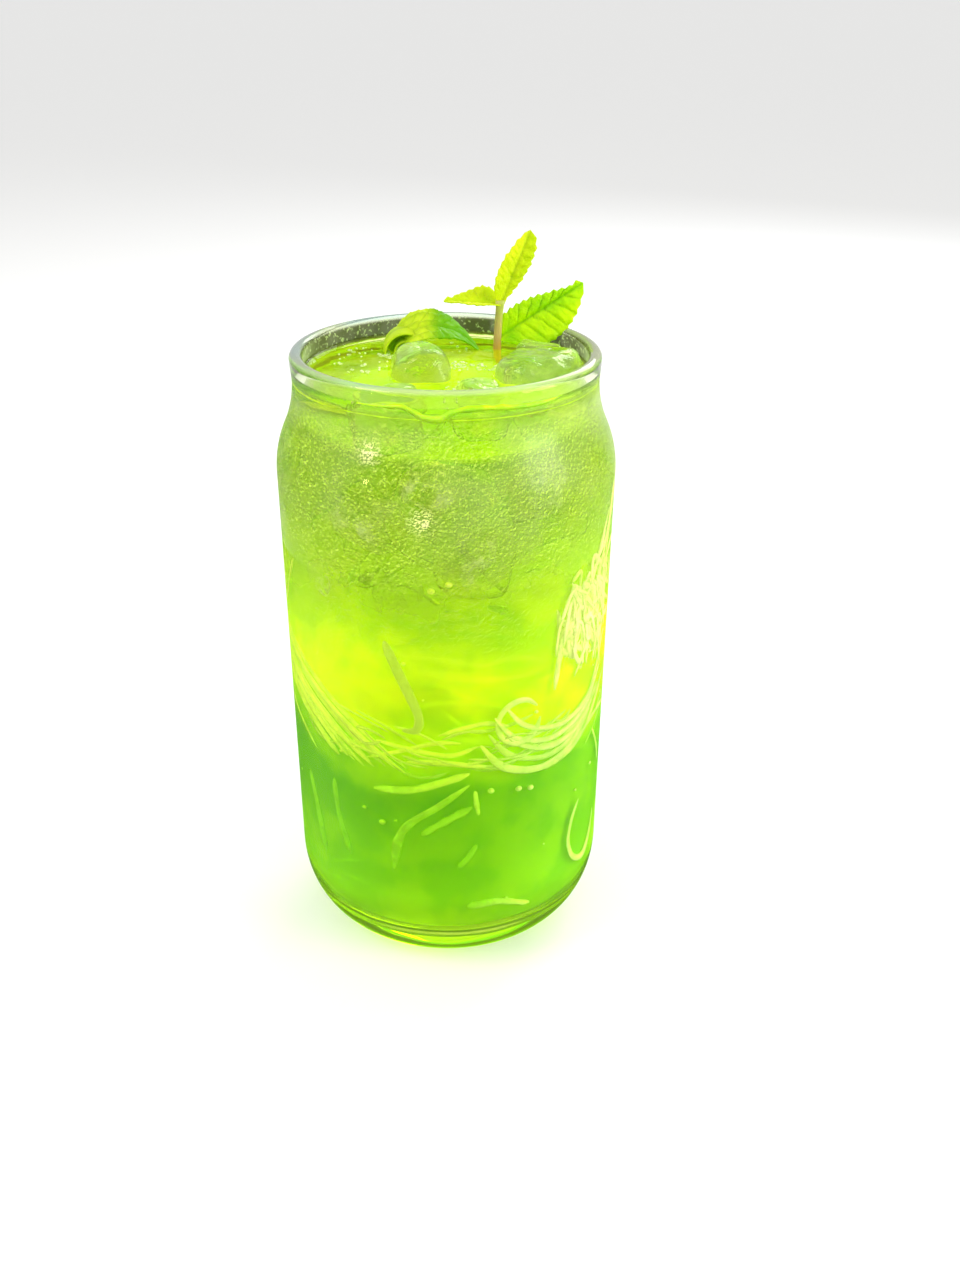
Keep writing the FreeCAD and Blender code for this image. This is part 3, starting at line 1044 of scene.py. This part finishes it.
    def soften(self, weight, radius):
        """Light spreads under the skin."""
        self.look("Subsurface Weight", weight)
        self.look("Subsurface Radius", radius)
        self.look("Subsurface Scale", 1.0)


def glass_material():
    """Clear glass, blown a little uneven; its neck is tinted with the drink's green, and its rim, made less
    clear, carries a painted reflection in patches of pale green and sky blue.
    """
    m = Paint("clear_glass", {"IOR": GLASS_IOR, "Roughness": 0.0, "Specular Tint": (0.7, 0.75, 0.35)})
    mark = m.mark()
    neck = m.by_height(NECK_Z - 4.0, NECK_Z)
    rim = m.by_height(GLASS_H - 1.0, GLASS_H - 0.2)
    # painted reflection: the rim's pale green and sky-blue patches stand in for the drink and the sky
    # mirrored in it
    rim_painted_reflection = m.mix(m.span(m.grain(30, 1), 0.45, 0.60), (0.84, 0.92, 0.56), (0.66, 0.88, 0.86))
    m.look("Base Color", m.mix(rim, m.mix(neck, WHITE, (0.90, 0.97, 0.66)), rim_painted_reflection))
    m.look("Transmission Weight", m.minus(1.0, m.times(rim, 0.38)))
    m.bump(m.times(m.grain(70, 1), mark), 0.0004)
    facing = m.node("LayerWeight", {"Blend": 0.5}).outputs["Facing"]
    glancing = m.times(m.span(facing, 0.25, 0.85, 0.55, 0.93), m.times(mark, m.entering()))
    wetted = m.minus(0.95, m.times(mark, 0.95))
    wetted = m.times(wetted, m.by_height(LEVEL_Z - 0.5, LEVEL_Z, 1.0, 0.0))
    wetted = m.times(wetted, m.by_height(FLOOR_Z + 3.0, FLOOR_Z + 9.0))
    m.let_light_through((0.97, 0.98, 0.96), m.calmer(GLASS_IOR, m.plus(glancing, wetted)))
    return m.material


def dew_material():
    """The beads and ridges of the condensation: pale where they catch light, green in their shade, with two
    painted glint patches.
    """
    m = Paint("dew", {"Roughness": 0.25})
    # beaded from a wavering line at half the height up to the neck
    wander = m.times(m.minus(m.grain(45, 2), 0.5), 0.020)
    wet = m.times(m.span(m.plus(m.xyz()[2], wander), 0.070, 0.110), m.by_height(131, 134.5, 1.0, 0.35))
    slope = m.plus(m.ridges(1400, 7.0), m.times(m.ridges(430, 3.0), 0.5))
    light = m.times(slope, 0.48, True)
    shade = m.times(slope, -0.34, True)
    patch = m.span(m.grain(42, 3), 0.42, 0.62)
    beads = m.times(m.plus(light, shade), m.span(patch, 0.0, 1.0, 1.0, 0.6))
    fog = m.times(patch, m.by_height(88, 120, 0.05, 0.38))
    cover = m.plus(beads, m.plus(fog, 0.04))
    # painted highlight: at two fixed spots on the shoulder the upward slopes of the ridges are painted
    # cream, as glints of a lamp
    painted_glint_spots = m.math("MAXIMUM", m.close_to((-14.2, -30.5, 127.2), 0.5, 5.0),
                  m.close_to((-4.0, -36.7, 115.4), 0.5, 5.0))
    painted_glint = m.times(painted_glint_spots, m.span(slope, -0.10, 0.35, 0.1, 1.0))
    cover = m.math("MAXIMUM", cover, painted_glint)
    m.look("Alpha", m.times(cover, wet, True))
    bead = m.ramp(m.span(slope, -0.4, 0.4), [(0.3, (0.10, 0.31, 0.0)), (0.7, (0.76, 0.93, 0.16))])
    haze = m.mix(m.by_height(100, 116), (0.34, 0.54, 0.0), (0.39, 0.52, 0.13))
    colour = m.mix(m.math("DIVIDE", beads, cover), haze, bead)
    m.look("Base Color", m.mix(painted_glint, colour, (0.96, 0.92, 0.42)))
    m.let_light_through((0.94, 0.97, 0.88))
    return m.material


def film_and_shade_material():
    """What the drink leaves on the wall above its level: a thin film with droplets in it, greenish at the
    front and darkened towards the back as painted shade.
    """
    m = Paint("film", {"Specular IOR Level": 0.1, "Roughness": 0.4})
    # painted shade: the film grows dark olive and thicker towards the back, standing in for the dark the
    # back of the wall shows
    back = m.span(m.xyz()[1], -0.010, 0.012)
    drops = m.span(m.grain(1100, 2, 0.6), 0.56, 0.66)
    streak = m.span(m.grain(260, 3, 0.5, (1, 1, 0.3)), 0.35, 0.65)
    thick = m.plus(m.plus(m.times(back, 0.56), 0.34), m.times(streak, 0.08))
    base = m.mix(back, (0.38, 0.58, 0.08), (0.10, 0.115, 0.035))
    m.look("Base Color", m.mix(drops, base, (0.50, 0.60, 0.26)))
    m.look("Alpha", m.times(thick, m.by_height(GLASS_H - 1.1, GLASS_H - 0.3, 1.0, 0.0)))
    return m.material


def drink_material():
    """Clear juice. Where it wets the glass it mirrors little; its open surface does, and is cloudy, with a
    painted green glow.
    """
    m = Paint("drink_lime", {"IOR": DRINK_IOR, "Roughness": 0.0, "Emission Strength": 1.0})
    open_top = m.by_height(LEVEL_Z - 1.2, LEVEL_Z - 0.8)
    calm = m.times(open_top, m.span(m.axis_distance(), 0.0290, 0.0308, 1.0, 0.0))
    m.look("Specular Tint", m.mix(open_top, BLACK, (0.6, 0.8, 0.3)))
    m.look("Base Color", m.mix(calm, WHITE, (0.80, 1.0, 0.02)))
    # painted light: the open surface gives off a faint green glow, though it is no lamp
    m.look("Emission Color", m.mix(calm, BLACK, (0.22, 0.27, 0.0)))
    cloudy = m.times(m.span(m.grain(90), 0.38, 0.62, 0.35, 0.75), calm)
    m.look("Transmission Weight", m.minus(1.0, cloudy))
    m.bump(m.times(m.grain(210, 2), open_top), 0.0004)
    m.let_light_through(shader=m.calmer(DRINK_IOR, m.times(m.entering(), 0.6)))
    m.absorb((0.94, 0.982, 0.0), 130.0)
    return m.material


def deep_material():
    m = Paint("drink_green", CLEAR)
    m.let_light_through()
    m.absorb((0.86, 0.965, 0.0), 110.0)
    return m.material


def foot_tint_painted_glow_material():
    m = Paint("foot_tint", CLEAR)
    m.let_light_through()
    volume = m.absorb((0.92, 0.99, 0.0), 150.0)
    # painted light: the foot glows lime green from inside
    m.glow_inside(volume, (0.5, 0.9, 0.0), 8.5)
    return m.material


def sunk_ice_material():
    m = Paint("ice_sunk", {**CLEAR, "IOR": 1.04})
    m.look("Roughness", m.span(m.grain(200, 2), 0.4, 0.7, 0.0, 0.15))
    m.let_light_through()
    return m.material


def ice_material():
    """Half-melted ice: clear rind, smooth wet skin with shallow hollows."""
    m = Paint("ice", {"IOR": ICE_IOR, "Base Color": (0.73, 0.89, 0.30)})
    m.look("Transmission Weight", m.span(m.grain(150), 0.35, 0.65, 0.95, 0.74))
    m.look("Roughness", m.span(m.grain(260), 0.4, 0.7, 0.02, 0.16))
    m.bump(m.grain(230), 0.0010)
    m.let_light_through()
    return m.material


def cloud_material():
    """The white heart of an ice cube."""
    m = Paint("ice_cloud", {"Base Color": (0.9, 0.95, 0.82), "Roughness": 0.9, "Specular IOR Level": 0.0})
    m.look("Alpha", m.span(m.grain(240, 5, 0.65), 0.42, 0.70, 0.04, 0.55))
    return m.material


# how the cloudy juice changes from the foot, nought, to the rim, one
JUICE_BODY = [
    (0.05, (0.42, 0.82, 0.0)), (0.16, (0.28, 0.63, 0.0)), (0.36, (0.22, 0.57, 0.0)),
    (0.43, (0.56, 0.95, 0.0)), (0.52, (0.94, 1.0, 0.0)), (0.60, (0.80, 1.0, 0.0)),
    (0.68, (0.46, 0.70, 0.0)), (0.80, (0.27, 0.42, 0.0)), (0.90, (0.17, 0.27, 0.02)),
]
# the painted glow of the cloudy juice, by height: it gives off light though it is no lamp
JUICE_GLOW = [
    (0.0, (0.50, 0.78, 0.0)), (0.10, (0.12, 0.22, 0.0)), (0.36, (0.03, 0.08, 0.0)),
    (0.45, (0.22, 0.33, 0.0)), (0.57, (0.34, 0.42, 0.0)), (0.72, (0.05, 0.07, 0.0)),
    (0.9, (0.02, 0.03, 0.0)),
]
JUICE_COVER = [(0.0, (0.72,) * 3), (0.45, (0.66,) * 3), (0.7, (0.52,) * 3), (0.86, (0.42,) * 3)]


def core_material():
    """Cloudy juice: deep green below, a bright yellow-green band, a paler greyer green on top; it gives off
    a painted glow by height, and its flat top glows green.
    """
    m = Paint("drink_cloud", {"Emission Strength": 1.0, "Roughness": 1.0, "Specular IOR Level": 0.0})
    mark = m.mark()
    drift = m.times(m.minus(m.grain(38), 0.5), 0.022)
    level = m.span(m.plus(m.xyz()[2], drift), 0.0, GLASS_H * MM, kind="LINEAR")
    body = m.ramp(level, JUICE_BODY)
    shadow = m.mix(1.0, body, (0.50, 0.76, 0.5), "MULTIPLY")
    body = m.mix(m.span(m.grain(62, 4, 0.55), 0.40, 0.60, 0.0, 0.85), body, shadow)
    m.look("Base Color", m.mix(mark, body, (0.62, 0.92, 0.0)))
    # painted light: the juice glows by height and its flat top glows green
    m.look("Emission Color", m.mix(mark, m.ramp(level, JUICE_GLOW), (0.14, 0.20, 0.0)))
    m.look("Alpha", m.ramp(level, JUICE_COVER))
    return m.material


def line_material():
    m = Paint("liquid_line", {"Emission Strength": 0.25, "Roughness": 0.25})
    # painted light: the line glows green
    m.look("Emission Color", (0.5, 0.9, 0.0))
    m.look("Base Color", m.ramp(m.grain(300), [(0.35, (0.34, 0.80, 0.0)), (0.65, (0.66, 1.0, 0.0))]))
    m.bump(m.grain(900), 0.0003)
    return m.material


# how the shreds change from the foot, nought, to 100 mm up, one
SHRED_JUICE = [
    (0.30, (0.30, 0.70, 0.0)), (0.50, (0.42, 0.80, 0.01)), (0.60, (0.72, 0.92, 0.05)),
    (0.80, (0.78, 0.96, 0.10)),
]
SHRED_SOAKED = [(0.50, (0.32, 0.82, 0.0)), (0.62, (0.50, 0.68, 0.08))]


def coconut_material():
    """Wet white shreds: green-yellow where the juice tints them, whiter towards the clump at one side, with
    a faint painted glow of their own colour.
    """
    m = Paint("coconut", {"Emission Strength": 0.20, "Roughness": 0.5})
    m.soften(0.3, (0.0016, 0.0016, 0.0012))
    mark = m.mark()
    x, _, z = m.xyz()
    fibre = m.grain(420, 4, 0.6)
    level = m.span(z, 0.0, 0.1, kind="LINEAR")
    pale = m.mix(m.by_height(60, 80), (0.56, 0.80, 0.20), (0.84, 0.90, 0.44))
    side = m.span(m.plus(x, m.times(fibre, 0.01)), 0.008, 0.026)
    base = m.mix(side, m.ramp(level, SHRED_JUICE), pale)
    base = m.mix(m.span(fibre, 0.4, 0.7, 0.0, 0.25), base, (0.50, 0.90, 0.02))
    base = m.mix(mark, m.ramp(level, SHRED_SOAKED), base)
    m.look("Base Color", base)
    # painted light: the shreds glow faintly in their own colour
    m.look("Emission Color", base)
    cover = m.span(m.grain(160), 0.35, 0.6, 0.62, 1.0)
    m.look("Alpha", m.times(cover, m.span(mark, 0.0, 1.0, 0.55, 1.0)))
    m.bump(m.grain(1600, 3, 0.6), 0.0002)
    return m.material


def mint_material(name, deep, light, vein_and_crease_shade_colour, far=None):
    """Soft matt leaf; far, where given, colours the half towards its tip."""
    m = Paint(name, {"Specular IOR Level": 0.12})
    m.soften(0.2, (0.0010, 0.0014, 0.0003))
    tone = m.node("Attribute", {}, attribute_name="tone").outputs["Color"]
    vein_and_crease_shade, edge, along = m.node("SeparateColor", {0: tone}).outputs
    base = m.ramp(m.grain(130), [(0.35, deep), (0.68, light)])
    # veins, and creases as painted shade, take the vein colour
    base = m.mix(m.times(vein_and_crease_shade, 0.6), base, vein_and_crease_shade_colour)
    base = m.mix(m.times(edge, 0.35), base, light)
    if far:
        base = m.mix(m.span(along, 0.36, 0.60, 0.0, 0.85), base, far)
    m.look("Base Color", base)
    m.look("Roughness", m.span(m.grain(400), 0.3, 0.7, 0.34, 0.52))
    m.bump(m.grain(2200, 3, 0.6), 0.00018)
    return m.material


STEM_COLOURS = [(0.0, (0.56, 0.26, 0.02)), (0.30, (0.66, 0.46, 0.18)), (1.0, (0.54, 0.62, 0.10))]


def stem_material():
    m = Paint("mint_stem", {"Roughness": 0.42})
    m.soften(0.2, (0.001, 0.001, 0.0005))
    streak = m.span(m.grain(700, 3, 0.5, (1, 1, 0.15)), 0.4, 0.7, 0.0, 0.5)
    base = m.ramp(m.by_height(134, 146), STEM_COLOURS)
    m.look("Base Color", m.mix(streak, base, (0.66, 0.38, 0.22)))
    m.bump(m.grain(900, 3, 0.5, (1, 1, 0.1)), 0.0003)
    return m.material


def bubble_material():
    m = Paint("bubble", {"Roughness": 0.12, "Alpha": 0.8})
    m.look("Base Color", m.ramp(m.grain(900, 2), [(0.4, (0.70, 0.90, 0.22)), (0.62, (0.95, 1.0, 0.72))]))
    return m.material


# ---------------------------------------------------------------- the pieces
def dress(ob, mat, node=None):
    ob.data.materials.append(mat)
    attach(ob, "root")
    if node:
        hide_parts(node)


# each leaf's deep, light and vein colours (the vein colour also paints shade into the creases), and where
# there is one the colour towards its tip
YOUNG = [(0.46, 0.66, 0.0), (0.78, 0.92, 0.01), (0.46, 0.60, 0.01)]
BROAD = [(0.26, 0.66, 0.0), (0.58, 0.92, 0.0), (0.20, 0.54, 0.0)]
LOOSE = [(0.42, 0.66, 0.01), (0.66, 0.86, 0.02), (0.24, 0.44, 0.0), (0.09, 0.38, 0.0)]


def make_pieces():
    drink = make_drink()
    ice = {name: mesh_from(name + "_melted", *melted(name)) for name in ICE}
    cut_pockets(drink)
    sunk, hearts = make_sunk_ice()
    dress(make_glass(), glass_material(), "glass")
    dress(drink, drink_material(), "drink_upper")
    dress(make_lower(), deep_material(), "drink_lower")
    ice_skin = ice_material()
    for name, block in ice.items():
        dress(block, ice_skin, name)
    dress(sunk, sunk_ice_material())
    dress(hearts, cloud_material())
    dress(make_coconut(), coconut_material())
    young, broad, stalk, loose = make_mint()
    dress(make_core(), core_material())
    dress(make_dew(), dew_material())
    dress(make_film(), film_and_shade_material())
    dress(make_foot_tint_painted_glow(), foot_tint_painted_glow_material())
    dress(make_liquid_line(), line_material())
    dress(young, mint_material("mint_young", *YOUNG), "mint_sprig")
    dress(broad, mint_material("mint_broad", *BROAD), None)
    dress(stalk, stem_material(), None)
    dress(loose, mint_material("mint_loose", *LOOSE), "mint_leaf_curled")
    dress(make_bubbles(), bubble_material())


make_pieces()

# ---------------------------------------------------------------- stage and light
STAGE_HALF = 20.0
STAGE_Z = -1e-4
WORLD_STRENGTH = 0.74

# place and target in metres, size, power, colour
LAMPS = {
    "key": ((-0.45, -0.15, 0.75), (0, 0, 0.07), (0.30, 0.30), 2.3, (1.0, 0.96, 0.88)),
    "glint": ((-0.371, -0.290, 0.217), (-0.014, -0.031, 0.127), (0.03, 0.03), 0.12, (1.0, 0.93, 0.7)),
    "side": ((0.55, -0.20, 0.30), (0, 0, 0.08), (0.3, 0.4), 2.3, (1.0, 1.0, 0.90)),
    "back": ((0.35, 0.7, 0.6), (0, 0, 0.07), (0.5, 0.4), 3.2, (0.95, 0.98, 1.0)),
}


def floor_material():
    looks = {"Base Color": (0.9, 0.9, 0.89), "Emission Color": WHITE, "Emission Strength": 0.12}
    return Paint("floor_white", {**looks, "Roughness": 0.7}).material


def make_floor():
    mesh = bpy.data.meshes.new("floor")
    corners = [(-1, -1), (1, -1), (1, 1), (-1, 1)]
    verts = [(x * STAGE_HALF, y * STAGE_HALF, STAGE_Z) for x, y in corners]
    mesh.from_pydata(verts, [], [(0, 1, 2, 3)])
    mesh.update()
    mesh.materials.append(floor_material())
    add_object("floor", mesh)


def make_world():
    world = scene.world or bpy.data.worlds.new("studio")
    scene.world = world
    world.use_nodes = True
    background = world.node_tree.nodes.get("Background")
    background.inputs["Color"].default_value = (1, 1, 1, 1)
    background.inputs["Strength"].default_value = WORLD_STRENGTH


def make_lamp(name, place, target, size, power, colour):
    data = bpy.data.lights.new(name, "AREA")
    data.shape = "RECTANGLE"
    data.size, data.size_y = size
    data.energy = power
    data.color = colour
    lamp = bpy.data.objects.new(name, data)
    scene.collection.objects.link(lamp)
    lamp.location = place
    lamp.rotation_euler = (Vector(target) - Vector(place)).to_track_quat("-Z", "Y").to_euler()


make_floor()
make_world()
for name, lamp in LAMPS.items():
    make_lamp(name, *lamp)

BOUNCES = 18
scene.view_settings.view_transform = "Standard"
scene.view_settings.look = "None"
scene.cycles.max_bounces = BOUNCES
scene.cycles.transmission_bounces = BOUNCES
scene.cycles.transparent_max_bounces = BOUNCES
scene.cycles.use_denoising = True
